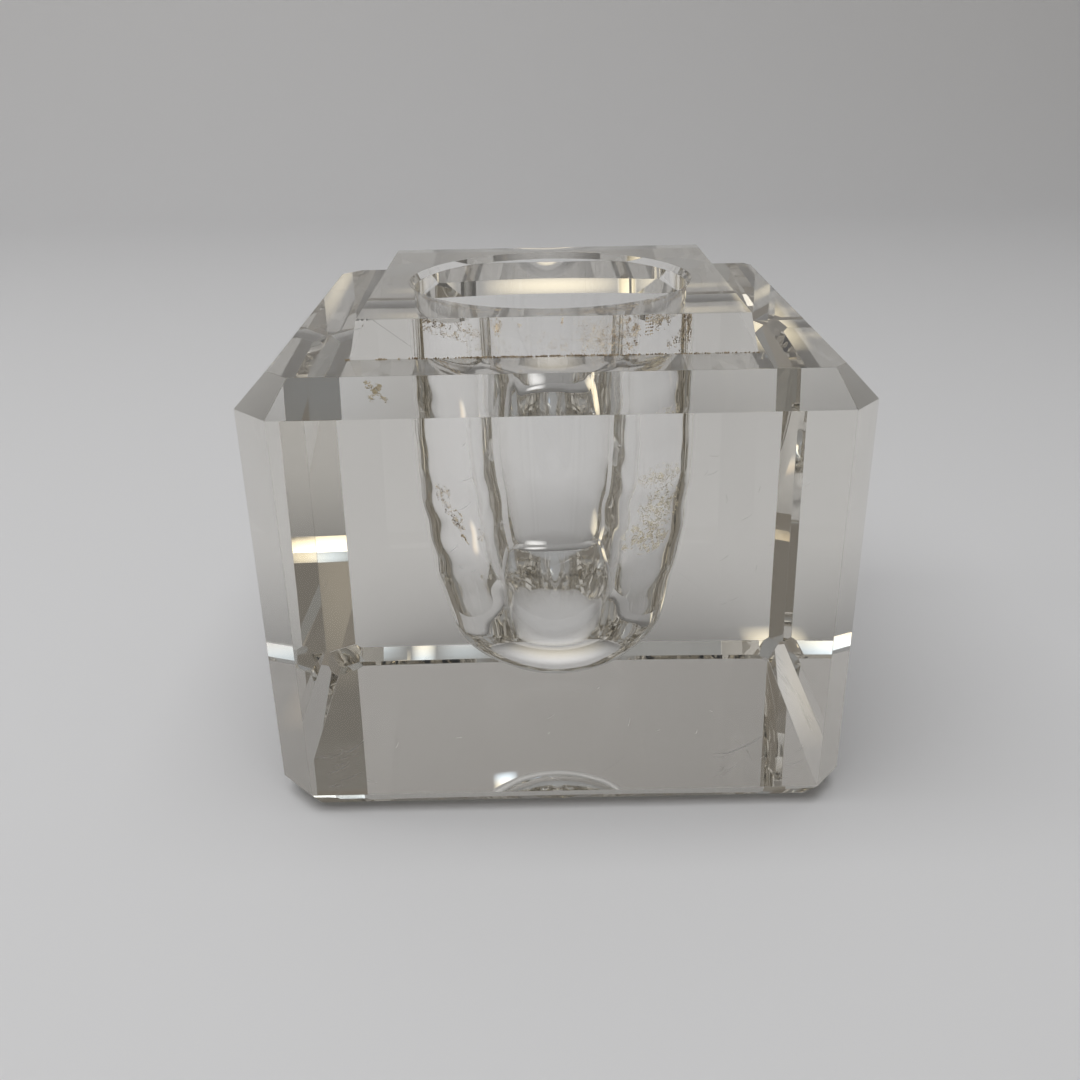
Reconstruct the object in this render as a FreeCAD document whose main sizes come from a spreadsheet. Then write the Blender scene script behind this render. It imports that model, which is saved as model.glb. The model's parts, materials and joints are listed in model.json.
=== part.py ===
import FreeCAD, Part
import math
import os
import Sketcher

# A cut-glass desk inkwell: a nearly square block with hand-ground bevels, no two alike, a raised
# square neck and a blind round well, with the remains of its lid's cement and of its ink.
# The origin is the centre of the base, +Z is up and -Y is the front.
# Lengths are in millimetres and angles in degrees.

SIZES = {
    # glass block
    "blockWidth": 64.0,
    "blockDepth": 60.5,
    "blockHeight": 50.1,
    "topBevelInset": 3.2,
    "topBevelDrop": 3.35,
    "baseBevelInset": 2.1,
    "baseBevelRise": 2.3,
    # upright bevels: how far each one cuts into the width and into the depth
    "backRightAcross": 1.6,
    "backRightAlong": 3.2,
    "backLeftAcross": 3.75,
    "backLeftAlong": 3.8,
    "frontLeftAcross": 3.9,
    "frontLeftAlong": 4.0,
    "frontRightAcross": 3.0,
    "frontRightAlong": 3.5,
    # how much of an upright bevel's cut is left at the top face and at the base
    "topLeftShare": 0.66,
    "topRightShare": 0.46,
    "baseShare": 0.64,
    # square neck
    "neckFoot": 41.9,
    "neckTop": 40.3,
    "neckRise": 3.95,
    # round well
    "mouthRadius": 16.6,
    "lipDepth": 0.75,
    "boreRadius": 16.1,
    "boreLength": 13.3,
    "taperRadius": 88.0,
    "shoulderRadius": 8.0,
    "floorRadius": 15.5,
    "floorHeight": 8.2,
    # bead of cement round the neck's foot
    "beadWidth": 0.5,
    "beadTopWidth": 0.15,
    "beadHeight": 0.4,
    "firstGapStart": 10.2,
    "firstGapEnd": 16.5,
    "secondGapStart": 6.8,
    "secondGapEnd": 12.4,
    # cement spot on the front bevel
    "spotHalf": 1.1,
    "spotCorner": 0.6,
    "spotThickness": 0.15,
    "spotOffset": 17.5,
    "spotDrop": 1.6,
    # dried ink: turns are measured from the front, anticlockwise seen from above
    "wallInkThickness": 0.15,
    "mouthInkTop": 52.8,
    "mouthInkBottom": 48.2,
    "mouthInkSpan": 135.0,
    "mouthInkTurn": -3.0,
    "leftInkTop": 34.6,
    "leftInkBottom": 28.0,
    "leftInkSpan": 20.0,
    "leftInkTurn": -48.0,
    "rightInkTop": 37.4,
    "rightInkBottom": 25.0,
    "rightInkSpan": 44.0,
    "rightInkTurn": 48.0,
}

SHEET = "Sizes"
WELL_TOP = "Sizes.blockHeight + Sizes.neckRise"
# the block's corners anticlockwise from above, with the side and end that each is on
CORNERS = (("backRight", 1, 1), ("backLeft", -1, 1), ("frontLeft", -1, -1), ("frontRight", 1, -1))


def make_sheet(doc):
    """Keep the driving dimensions in a spreadsheet, one aliased cell each."""
    sheet = doc.addObject("Spreadsheet::Sheet", SHEET)
    for row, (alias, value) in enumerate(SIZES.items(), start=1):
        sheet.set(f"A{row}", alias)
        sheet.set(f"B{row}", str(value))
        sheet.setAlias(f"B{row}", alias)
    doc.recompute()


def new_body(doc, label):
    """A body for one sub-part; a body of loose crumbs may hold several solids."""
    body = doc.addObject("PartDesign::Body", label)
    body.Label = label
    body.AllowCompound = True
    return body


def new_sketch(body, name, role, height=None):
    """A sketch on one of the body's own origin planes, lifted by an expression."""
    sketch = body.newObject("Sketcher::SketchObject", name)
    plane = next(item for item in body.Origin.OriginFeatures if item.Role == role)
    sketch.AttachmentSupport = [(plane, "")]
    sketch.MapMode = "FlatFace"
    if height is not None:
        sketch.setExpression(".AttachmentOffset.Base.z", height)
    return sketch


def number(sketch, text):
    """The value of an expression in the spreadsheet's terms, as a plain number."""
    value = sketch.evalExpression(text)
    return float(getattr(value, "Value", value))


def drive(sketch, text, kind, *where):
    """Add a dimension and bind it to an expression."""
    index = sketch.addConstraint(Sketcher.Constraint(kind, *where, number(sketch, text)))
    sketch.setExpression(f"Constraints[{index}]", text)


def place_vertex(sketch, line, corner):
    """Fix a line's start from the sketch's origin, by a (sign, expression) pair each way."""
    for kind, (sign, text) in zip(("DistanceX", "DistanceY"), corner):
        if sign > 0:
            drive(sketch, text, kind, -1, 1, line, 1)
        else:
            drive(sketch, text, kind, line, 1, -1, 1)


def add_polygon(sketch, corners):
    """A closed outline whose corners are (sign, expression) pairs for X and Y."""
    points = []
    for across, along in corners:
        x = across[0] * number(sketch, across[1])
        y = along[0] * number(sketch, along[1])
        points.append(FreeCAD.Vector(x, y, 0))
    first = sketch.GeometryCount
    count = len(points)
    for index, point in enumerate(points):
        sketch.addGeometry(Part.LineSegment(point, points[(index + 1) % count]), False)
    for index, corner in enumerate(corners):
        following = first + (index + 1) % count
        sketch.addConstraint(Sketcher.Constraint("Coincident", first + index, 2, following, 1))
        place_vertex(sketch, first + index, corner)


def block_outline(sketch, inset, left_share, right_share):
    """The block's outline, inset all round, with a share of each upright bevel's cut taken off."""
    width = f"Sizes.blockWidth / 2 - {inset}"
    depth = f"Sizes.blockDepth / 2 - {inset}"
    outline = []
    for name, side, end in CORNERS:
        share = right_share if side > 0 else left_share
        along = f"{depth} - Sizes.{name}Along * {share}"
        across = f"{width} - Sizes.{name}Across * {share}"
        cut = [((side, width), (end, along)), ((side, across), (end, depth))]
        outline += cut if side == end else cut[::-1]
    add_polygon(sketch, outline)


def octagon(sketch, half, leg):
    """A square of the given half side, with its corners cut by the given leg."""
    inner = f"{half} - {leg}"
    corners = [
        ((1, half), (1, inner)),
        ((1, inner), (1, half)),
        ((-1, inner), (1, half)),
        ((-1, half), (1, inner)),
        ((-1, half), (-1, inner)),
        ((-1, inner), (-1, half)),
        ((1, inner), (-1, half)),
        ((1, half), (-1, inner)),
    ]
    add_polygon(sketch, corners)


def square(sketch, half):
    """A square of the given half side."""
    corners = [((sx, half), (sy, half)) for sx, sy in ((1, 1), (-1, 1), (-1, -1), (1, -1))]
    add_polygon(sketch, corners)


def add_gap(sketch, side, start, end):
    """A rectangle across the front run of the bead, between two distances from its middle."""
    near = "Sizes.neckFoot / 2 - Sizes.beadWidth"
    far = "Sizes.neckFoot / 2 + 2 * Sizes.beadWidth"
    corners = [((side, x), (-1, y)) for x, y in ((start, near), (end, near), (end, far), (start, far))]
    add_polygon(sketch, corners)


def loft(body, kind, name, sketches):
    """A ruled loft through the sketches, added to the body or cut from it."""
    feature = body.newObject(kind, name)
    feature.Profile = sketches[0]
    feature.Sections = sketches[1:]
    feature.Ruled = True
    return feature


def circle_crossing(first, first_radius, second, second_radius):
    """The lower of the two points where two circles cross."""
    span = second - first
    along = (first_radius**2 - second_radius**2 + span.Length**2) / (2 * span.Length)
    away = math.sqrt(first_radius**2 - along**2)
    unit = span.normalize()
    aside = FreeCAD.Vector(-unit.y, unit.x, 0)
    foot = first + unit * along
    return min((foot + aside * away, foot - aside * away), key=lambda point: point.y)


def arc(centre, radius, start, end):
    """An arc of a circle from the start angle to the end angle, in radians."""
    normal = FreeCAD.Vector(0, 0, 1)
    return Part.ArcOfCircle(Part.Circle(centre, normal, radius), start, end)


def well_curves(sketch):
    """The well's half section: mouth, lip, bore, then three tangent arcs down to the floor."""
    top = number(sketch, WELL_TOP)
    mouth = number(sketch, "Sizes.mouthRadius")
    bore = number(sketch, "Sizes.boreRadius")
    lip_end = top - number(sketch, "Sizes.lipDepth")
    bore_end = lip_end - number(sketch, "Sizes.boreLength")
    taper = number(sketch, "Sizes.taperRadius")
    shoulder = number(sketch, "Sizes.shoulderRadius")
    floor = number(sketch, "Sizes.floorRadius")
    floor_height = number(sketch, "Sizes.floorHeight")
    taper_centre = FreeCAD.Vector(bore - taper, bore_end, 0)
    floor_centre = FreeCAD.Vector(0, floor_height + floor, 0)
    shoulder_centre = circle_crossing(taper_centre, taper - shoulder, floor_centre, floor - shoulder)
    to_shoulder = shoulder_centre - taper_centre
    to_floor = shoulder_centre - floor_centre
    upper = math.atan2(to_shoulder.y, to_shoulder.x)
    lower = math.atan2(to_floor.y, to_floor.x)
    corners = [(0, top), (mouth, top), (bore, lip_end), (bore, bore_end)]
    points = [FreeCAD.Vector(x, y, 0) for x, y in corners]
    curves = [Part.LineSegment(a, b) for a, b in zip(points, points[1:])]
    curves.append(arc(taper_centre, taper, upper, 0))
    curves.append(arc(shoulder_centre, shoulder, lower, upper))
    curves.append(arc(floor_centre, floor, -math.pi / 2, lower))
    curves.append(Part.LineSegment(FreeCAD.Vector(0, floor_height, 0), points[0]))
    return curves


def well_section(sketch):
    """Draw and drive the well's half section."""
    for curve in well_curves(sketch):
        sketch.addGeometry(curve, False)
    mouth, lip, bore, taper, shoulder, floor, axis = range(7)
    joins = [
        ("Coincident", mouth, 2, lip, 1),
        ("Coincident", lip, 2, bore, 1),
        ("Tangent", bore, 2, taper, 2),
        ("Tangent", taper, 1, shoulder, 2),
        ("Tangent", shoulder, 1, floor, 2),
        ("Coincident", floor, 1, axis, 1),
        ("Coincident", axis, 2, mouth, 1),
        ("Horizontal", mouth),
        ("Vertical", bore),
        ("PointOnObject", mouth, 1, -2),
        ("PointOnObject", floor, 1, -2),
        ("PointOnObject", floor, 3, -2),
    ]
    for join in joins:
        sketch.addConstraint(Sketcher.Constraint(*join))
    drive(sketch, WELL_TOP, "DistanceY", -1, 1, mouth, 1)
    drive(sketch, "Sizes.mouthRadius", "DistanceX", mouth, 1, mouth, 2)
    drive(sketch, "Sizes.lipDepth", "DistanceY", lip, 2, lip, 1)
    drive(sketch, "Sizes.boreRadius", "DistanceX", -1, 1, bore, 1)
    drive(sketch, "Sizes.boreLength", "DistanceY", bore, 2, bore, 1)
    drive(sketch, "Sizes.taperRadius", "Radius", taper)
    drive(sketch, "Sizes.shoulderRadius", "Radius", shoulder)
    drive(sketch, "Sizes.floorRadius", "Radius", floor)
    drive(sketch, "Sizes.floorHeight", "DistanceY", -1, 1, floor, 1)


def make_glass_block(doc):
    """The block of glass: bevelled block, square neck and the well sunk into them."""
    body = new_body(doc, "glass_block")
    below_bevel = "Sizes.blockHeight - Sizes.topBevelDrop"
    levels = [
        ("BaseFace", "0", "Sizes.baseBevelInset", "Sizes.baseShare", "Sizes.baseShare"),
        ("BaseBevel", "Sizes.baseBevelRise", "0", "1", "1"),
        ("TopBevel", below_bevel, "0", "1", "1"),
        ("TopFace", "Sizes.blockHeight", "Sizes.topBevelInset", "Sizes.topLeftShare", "Sizes.topRightShare"),
    ]
    sketches = []
    for name, height, inset, left_share, right_share in levels:
        sketch = new_sketch(body, name, "XY_Plane", height)
        block_outline(sketch, inset, left_share, right_share)
        sketches.append(sketch)
    loft(body, "PartDesign::AdditiveLoft", "Block", sketches)
    doc.recompute()
    foot = new_sketch(body, "NeckFoot", "XY_Plane", "Sizes.blockHeight")
    square(foot, "Sizes.neckFoot / 2")
    crown = new_sketch(body, "NeckTop", "XY_Plane", WELL_TOP)
    square(crown, "Sizes.neckTop / 2")
    loft(body, "PartDesign::AdditiveLoft", "Neck", [foot, crown])
    doc.recompute()
    uncut = body.Shape.Volume
    section = new_sketch(body, "WellSection", "XZ_Plane")
    well_section(section)
    well = body.newObject("PartDesign::Groove", "Well")
    well.Profile = section
    well.ReferenceAxis = (section, ["V_Axis"])
    well.Angle = 360
    doc.recompute()
    if body.Shape.Volume > 0.95 * uncut:
        raise RuntimeError("the well cut nothing from the block")
    return body


def make_neck_cement(doc):
    """A thin bead in the corner round the neck's foot, broken by two gaps on each side."""
    body = new_body(doc, "neck_cement")
    foot = "Sizes.neckFoot / 2"
    lean = "(Sizes.neckFoot - Sizes.neckTop) / 2 * Sizes.beadHeight / Sizes.neckRise"
    crest = f"{foot} - {lean}"
    bead_top = "Sizes.blockHeight + Sizes.beadHeight"
    outer = []
    inner = []
    for name, height, reach, width in (
        ("Foot", "Sizes.blockHeight", foot, "Sizes.beadWidth"),
        ("Crest", bead_top, crest, "Sizes.beadTopWidth"),
    ):
        outside = new_sketch(body, f"Bead{name}", "XY_Plane", height)
        square(outside, f"{reach} + {width}")
        outer.append(outside)
        inside = new_sketch(body, f"Neck{name}", "XY_Plane", height)
        square(inside, reach)
        inner.append(inside)
    loft(body, "PartDesign::AdditiveLoft", "Bead", outer)
    doc.recompute()
    loft(body, "PartDesign::SubtractiveLoft", "NeckRoom", inner)
    doc.recompute()
    whole = body.Shape.Volume
    plan = new_sketch(body, "Gaps", "XY_Plane", bead_top)
    for side, name in ((-1, "firstGap"), (1, "secondGap")):
        add_gap(plan, side, f"Sizes.{name}Start", f"Sizes.{name}End")
    gaps = body.newObject("PartDesign::Pocket", "GapCut")
    gaps.Profile = plan
    gaps.Type = "Length"
    gaps.setExpression("Length", "Sizes.beadHeight")
    doc.recompute()
    pattern = body.newObject("PartDesign::PolarPattern", "GapPattern")
    pattern.Originals = [gaps]
    pattern.Axis = (plan, ["N_Axis"])
    pattern.Angle = 360
    pattern.Occurrences = 4
    body.Tip = pattern
    doc.recompute()
    if body.Shape.Volume > 0.95 * whole:
        raise RuntimeError("the gaps cut nothing from the bead")
    return body


def make_bevel_cement(doc):
    """A spot of cement lying on the slope of the front bevel."""
    body = new_body(doc, "bevel_cement")
    outline = new_sketch(body, "Spot", "XY_Plane")
    octagon(outline, "Sizes.spotHalf", "Sizes.spotCorner")
    spot = body.newObject("PartDesign::Pad", "SpotPad")
    spot.Profile = outline
    spot.setExpression("Length", "Sizes.spotThickness")
    tilt = "atan2(Sizes.topBevelDrop; Sizes.topBevelInset)"
    body.Placement = FreeCAD.Placement(FreeCAD.Vector(), FreeCAD.Rotation(FreeCAD.Vector(1, 0, 0), 1))
    body.setExpression("Placement.Rotation.Angle", tilt)
    body.setExpression("Placement.Base.x", "-Sizes.spotOffset")
    edge = "Sizes.topBevelInset - Sizes.blockDepth / 2"
    body.setExpression("Placement.Base.y", f"{edge} - Sizes.spotDrop * cos({tilt})")
    body.setExpression("Placement.Base.z", f"Sizes.blockHeight - Sizes.spotDrop * sin({tilt})")
    doc.recompute()
    return body


def turn_section(doc, body, sketch, span, turn):
    """Sweep a section about Z over a span that is centred on a direction from the front."""
    crust = body.newObject("PartDesign::Revolution", f"{body.Label}_sweep")
    crust.Profile = sketch
    crust.ReferenceAxis = (sketch, ["V_Axis"])
    crust.Midplane = True
    crust.setExpression("Angle", span)
    body.Placement = FreeCAD.Placement(FreeCAD.Vector(), FreeCAD.Rotation(FreeCAD.Vector(0, 0, 1), 1))
    body.setExpression("Placement.Rotation.Angle", f"{turn} - 90")
    doc.recompute()


def make_mouth_ink(doc):
    """A thin crust of dried ink on the straight wall just below the mouth's lip."""
    body = new_body(doc, "mouth_ink")
    section = new_sketch(body, "MouthInkSection", "XZ_Plane")
    face = "Sizes.boreRadius - Sizes.wallInkThickness"
    corners = [
        ((1, "Sizes.boreRadius"), (1, "Sizes.mouthInkBottom")),
        ((1, "Sizes.boreRadius"), (1, "Sizes.mouthInkTop")),
        ((1, face), (1, "Sizes.mouthInkTop")),
        ((1, face), (1, "Sizes.mouthInkBottom")),
    ]
    add_polygon(section, corners)
    turn_section(doc, body, section, "Sizes.mouthInkSpan", "Sizes.mouthInkTurn")
    return body


def wall_section(sketch, top, bottom):
    """The half section of a thin crust that follows the well's tapering wall."""
    centre_x = "Sizes.taperRadius - Sizes.boreRadius"
    centre_z = f"{WELL_TOP} - Sizes.lipDepth - Sizes.boreLength"
    centre = FreeCAD.Vector(-number(sketch, centre_x), number(sketch, centre_z), 0)
    radii = ("Sizes.taperRadius", "Sizes.taperRadius - Sizes.wallInkThickness")
    ends = []
    for text in radii:
        radius = number(sketch, text)
        low, high = (math.asin((number(sketch, z) - centre.y) / radius) for z in (bottom, top))
        sketch.addGeometry(arc(centre, radius, low, high), False)
        for angle in (low, high):
            ends.append(centre + radius * FreeCAD.Vector(math.cos(angle), math.sin(angle), 0))
    outer, inner, upper, lower = range(4)
    outer_low, outer_high, inner_low, inner_high = ends
    sketch.addGeometry(Part.LineSegment(outer_high, inner_high), False)
    sketch.addGeometry(Part.LineSegment(inner_low, outer_low), False)
    joins = [
        ("Coincident", outer, 2, upper, 1),
        ("Coincident", upper, 2, inner, 2),
        ("Coincident", inner, 1, lower, 1),
        ("Coincident", lower, 2, outer, 1),
        ("Coincident", outer, 3, inner, 3),
        ("Horizontal", upper),
        ("Horizontal", lower),
    ]
    for join in joins:
        sketch.addConstraint(Sketcher.Constraint(*join))
    drive(sketch, radii[0], "Radius", outer)
    drive(sketch, radii[1], "Radius", inner)
    drive(sketch, centre_x, "DistanceX", outer, 3, -1, 1)
    drive(sketch, centre_z, "DistanceY", -1, 1, outer, 3)
    drive(sketch, top, "DistanceY", -1, 1, outer, 2)
    drive(sketch, bottom, "DistanceY", -1, 1, outer, 1)


def make_wall_ink(doc, side):
    """A thin patch of dried ink on one side of the well's wall."""
    body = new_body(doc, f"{side}_wall_ink")
    section = new_sketch(body, f"{side}_ink_section", "XZ_Plane")
    wall_section(section, f"Sizes.{side}InkTop", f"Sizes.{side}InkBottom")
    turn_section(doc, body, section, f"Sizes.{side}InkSpan", f"Sizes.{side}InkTurn")
    return body


def check_document(doc, bodies):
    """Stop if any object failed to compute or any sub-part has no valid solid."""
    for item in doc.Objects:
        if "Invalid" in item.State or "Error" in item.State:
            raise RuntimeError(f"{item.Name} failed: {item.State}")
    for body in bodies:
        if body.Shape.isNull() or not body.Shape.isValid() or not body.Shape.Solids:
            raise RuntimeError(f"{body.Label} has no valid solid")


def main():
    """Build every sub-part, check them all and write one STEP file each."""
    doc = FreeCAD.newDocument("Inkwell")
    make_sheet(doc)
    bodies = [
        make_glass_block(doc),
        make_neck_cement(doc),
        make_bevel_cement(doc),
        make_mouth_ink(doc),
        make_wall_ink(doc, "left"),
        make_wall_ink(doc, "right"),
    ]
    doc.recompute()
    check_document(doc, bodies)
    os.makedirs("parts", exist_ok=True)
    for body in bodies:
        body.Shape.exportStep(f"parts/{body.Label}.step")
        solids = len(body.Shape.Solids)
        print(f"{body.Label}: {body.Shape.Volume:.2f} mm3 in {solids} solid(s), {body.Shape.BoundBox}")


main()
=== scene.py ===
import json
import math
import random

import bmesh
import bpy
from mathutils import Matrix, Vector, noise


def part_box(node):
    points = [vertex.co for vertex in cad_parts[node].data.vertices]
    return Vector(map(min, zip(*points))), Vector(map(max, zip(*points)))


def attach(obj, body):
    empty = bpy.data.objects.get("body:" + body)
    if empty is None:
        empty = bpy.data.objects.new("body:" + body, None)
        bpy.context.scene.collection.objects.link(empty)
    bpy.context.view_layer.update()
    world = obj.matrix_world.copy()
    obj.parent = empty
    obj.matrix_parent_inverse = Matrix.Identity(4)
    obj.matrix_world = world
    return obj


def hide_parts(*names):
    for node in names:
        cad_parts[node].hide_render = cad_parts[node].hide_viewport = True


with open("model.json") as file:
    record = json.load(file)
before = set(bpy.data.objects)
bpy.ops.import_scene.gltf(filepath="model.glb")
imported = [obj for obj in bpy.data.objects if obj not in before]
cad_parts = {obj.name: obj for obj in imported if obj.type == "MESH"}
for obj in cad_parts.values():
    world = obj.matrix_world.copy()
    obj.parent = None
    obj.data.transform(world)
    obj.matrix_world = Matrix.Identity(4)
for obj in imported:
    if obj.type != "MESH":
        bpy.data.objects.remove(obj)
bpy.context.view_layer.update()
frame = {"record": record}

# A clear cut-glass desk inkwell on a pale sweep. The block stands on z = 0, its front faces -Y
# and its well opens upwards. Lengths are in metres, apart from values whose comment says mm.

MM = 0.001
block_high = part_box("glass_block")[1]
mounts = {mount["name"]: mount for mount in frame["record"]["mounts"]}

# Glass block: its bevels are ground by hand, and no two are alike
WIDE = block_high[0]
DEEP = block_high[1]
TOP = block_high[2]
SHOULDER = mounts["lid_neck"]["pos_m"][2]
# Upright bevels: side, end, cut across and cut along in mm, and the share of the cut along that the
# corner facets above and below it take off the top and the base
UPRIGHT_BEVELS = (
    (1, 1, 1.6, 3.2, 0.46, 0.64),
    (-1, 1, 3.75, 3.8, 0.66, 0.64),
    (-1, -1, 3.9, 4.0, 0.66, 0.64),
    (1, -1, 3.0, 3.5, 0.46, 0.64),
)
# Top bevels, the front one first: X and Y that they face, inset and drop in mm
TOP_BEVELS = ((0, -1, 3.2, 3.35), (1, 0, 3.2, 3.35), (0, 1, 2.6, 3.3), (-1, 0, 3.2, 3.3))
# Base bevels: X and Y that they face, inset and rise in mm
BASE_BEVELS = ((0, -1, 2.0, 2.5), (1, 0, 2.1, 2.4), (0, 1, 2.45, 1.45), (-1, 0, 2.0, 2.5))
# Half sides of the square neck
NECK_FOOT = 20.95 * MM
NECK_TOP = 20.15 * MM
# A fine arris is ground along every edge that turns by more than this angle
ARRIS = 0.07 * MM
EDGE_ANGLE = math.radians(18)

# Well: its bore, its mouth and the drop of its lip, and the arcs of its section down to the floor
BORE = mounts["well_mouth"]["dims"]["r_mm"] * MM
BORE_LENGTH = mounts["well_mouth"]["dims"]["length_mm"] * MM
MOUTH = 16.6 * MM
LIP = 0.75 * MM
TAPER_ARC = 88.0 * MM
SHOULDER_ARC = 8.0 * MM
FLOOR_ARC = 15.5 * MM
FLOOR = 8.2 * MM
WELL_SIDES = 256
WELL_STEP = 0.45 * MM
# Ripples of its hand-finished wall: height, shortest and longest pitch in mm, number of waves
RIPPLES = ((0.020, 4.0, 7.0, 6), (0.045, 9.0, 18.0, 5))
# Flutes down the wall: how many round the well, their height and their pitch
FLUTES = (23, 37, 52)
FLUTE_HEIGHT = 0.0012 * MM
FLUTE_PITCH = 60.0 * MM
# The wall is calmer in the bore, near the lip and the floor's centre, and at the front and back
BORE_RIPPLE = 0.12
BORE_CALM = 9.0 * MM
LIP_CALM = 4.0 * MM
FLOOR_CALM = 8.0 * MM
FRONT_RIPPLE = 0.10

# Glass: refractive index, the colour of its depth, and the swell that polishing leaves
GLASS_IOR = 1.57
GLASS_TINT = (0.69, 0.645, 0.54)
GLASS_DENSITY = 7.2
SWELL_PER_METRE = 110.0
SWELL_HEIGHT = 0.005 * MM

# Camera: its place, its turns in radians and its lens in mm
CAMERA_PLACE = Vector((-1.96, -130.84, 79.71)) * MM
CAMERA_YAW = 0.0013
CAMERA_PITCH = 0.4292
CAMERA_ROLL = -0.019
CAMERA_LENS = 36.506
CAMERA_SENSOR = 36.0
CAMERA_NEAREST = 0.005


# ---------------------------------------------------------------- glass

def plane_through(a, b, c):
    """A point and outward normal of the plane through three points of the block's surface."""
    normal = (b - a).cross(c - a).normalized()
    middle = Vector((0.0, 0.0, SHOULDER / 2))
    return a, normal if normal.dot(a - middle) > 0 else -normal


def long_bevel(x, y, inset, height, level, step):
    """The plane of a bevel along one edge of the top or base face."""
    out = Vector((x * WIDE, y * DEEP, 0.0))
    inward = Vector((-x, -y, 0.0)) * inset * MM
    low = out + Vector((0.0, 0.0, level + step * height * MM))
    high = out + inward + Vector((0.0, 0.0, level))
    return plane_through(low, high, low + Vector((y, x, 0.0)) * WIDE)


def bevel_planes():
    """Every ground facet of the block, as (point, outward normal) pairs."""
    planes = []
    for side, end, across, along, top_share, base_share in UPRIGHT_BEVELS:
        across, along = across * MM, along * MM
        first = Vector((side * WIDE, end * (DEEP - along), 0.0))
        second = Vector((side * (WIDE - across), end * DEEP, 0.0))
        planes.append(plane_through(first, second, first + Vector((0.0, 0.0, SHOULDER))))
        for level, step, share, bevels in (
            (SHOULDER, -1, top_share, TOP_BEVELS),
            (0.0, 1, base_share, BASE_BEVELS),
        ):
            inset_x, drop_x = next((i, d) for x, y, i, d in bevels if x == side)
            inset_y, drop_y = next((i, d) for x, y, i, d in bevels if y == end)
            lift = Vector((0.0, 0.0, level + step * MM * (drop_x + drop_y) / 2))
            reach_x = side * (WIDE - inset_x * MM)
            reach_y = end * (DEEP - inset_y * MM - along * share)
            reach = Vector((reach_x, reach_y, level))
            planes.append(plane_through(first + lift, second + lift, reach))
    for x, y, inset, drop in TOP_BEVELS:
        planes.append(long_bevel(x, y, inset, drop, SHOULDER, -1))
    for x, y, inset, rise in BASE_BEVELS:
        planes.append(long_bevel(x, y, inset, rise, 0.0, 1))
    return planes


def ground_block(bm):
    """A box ground down to its bevels, one flat facet at a time."""
    bmesh.ops.create_cube(bm, size=1.0)
    for vert in bm.verts:
        vert.co = Vector((vert.co.x * 2 * WIDE, vert.co.y * 2 * DEEP, (vert.co.z + 0.5) * SHOULDER))
    for point, normal in bevel_planes():
        everything = bm.verts[:] + bm.edges[:] + bm.faces[:]
        cut = bmesh.ops.bisect_plane(
            bm, geom=everything, plane_co=point, plane_no=normal, clear_outer=True
        )
        rim = [item for item in cut["geom_cut"] if isinstance(item, bmesh.types.BMEdge)]
        bmesh.ops.contextual_create(bm, geom=rim)


def square(half, z):
    """Corners of a square of the given half side, anticlockwise from the +X -Y one."""
    return [Vector((x * half, y * half, z)) for x, y in ((1, -1), (1, 1), (-1, 1), (-1, -1))]


def arc_points(centre, radius, start, end):
    """Points of an arc from one angle to another, about WELL_STEP apart, without the first."""
    steps = max(2, round(abs(end - start) * radius / WELL_STEP))
    angles = [start + (end - start) * step / steps for step in range(1, steps + 1)]
    return [(centre[0] + radius * math.cos(a), centre[1] + radius * math.sin(a)) for a in angles]


def line_points(start, end):
    """Points of a line, about WELL_STEP apart, without the first."""
    length = math.dist(start, end)
    steps = max(1, round(length / WELL_STEP))
    return [
        tuple(s + (e - s) * step / steps for s, e in zip(start, end))
        for step in range(1, steps + 1)
    ]


def well_profile():
    """The well's half section from its mouth to its floor, as (radius, height) pairs."""
    lip_end = TOP - LIP
    bore_end = lip_end - BORE_LENGTH
    taper = (BORE - TAPER_ARC, bore_end)
    floor = (0.0, FLOOR + FLOOR_ARC)
    # The shoulder's arc meets the taper's and the floor's with no corner
    near, far = TAPER_ARC - SHOULDER_ARC, FLOOR_ARC - SHOULDER_ARC
    span = math.dist(taper, floor)
    along = (near**2 - far**2 + span**2) / (2 * span)
    away = math.sqrt(near**2 - along**2)
    unit = ((floor[0] - taper[0]) / span, (floor[1] - taper[1]) / span)
    foot = (taper[0] + unit[0] * along, taper[1] + unit[1] * along)
    shoulder = (foot[0] + unit[1] * away, foot[1] - unit[0] * away)
    upper = math.atan2(shoulder[1] - taper[1], shoulder[0] - taper[0])
    lower = math.atan2(shoulder[1] - floor[1], shoulder[0] - floor[0])
    points = [(MOUTH, TOP)]
    points += line_points(points[-1], (BORE, lip_end))
    points += line_points(points[-1], (BORE, bore_end))
    points += arc_points(taper, TAPER_ARC, 0.0, upper)
    points += arc_points(shoulder, SHOULDER_ARC, upper, lower)
    points += arc_points(floor, FLOOR_ARC, lower, -math.pi / 2)
    return points


def ripple_waves():
    """Seeded waves for the well's uneven wall: (amplitude, pitch, turns round it, phase)."""
    rng = random.Random(7)
    waves = []
    for height, shortest, longest, count in RIPPLES:
        for _ in range(count):
            pitch = rng.uniform(shortest, longest) * MM
            turns = rng.choice((-2, -1, 1, 2, 3))
            amplitude = height * MM * rng.uniform(0.6, 1.2)
            waves.append((amplitude, pitch, turns, rng.uniform(0, math.tau)))
    for turns in FLUTES:
        waves.append((FLUTE_HEIGHT, FLUTE_PITCH, turns, rng.uniform(0, math.tau)))
    return waves


def ripple(waves, depth, turn):
    """How far the wall stands off its true profile, at a depth along it and an angle round it."""
    return sum(
        amplitude * math.sin(math.tau * depth / pitch + turns * turn + phase)
        for amplitude, pitch, turns, phase in waves
    )


def ease(value):
    """A smooth rise from 0 to 1."""
    value = min(1.0, max(0.0, value))
    return value * value * (3 - 2 * value)


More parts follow.
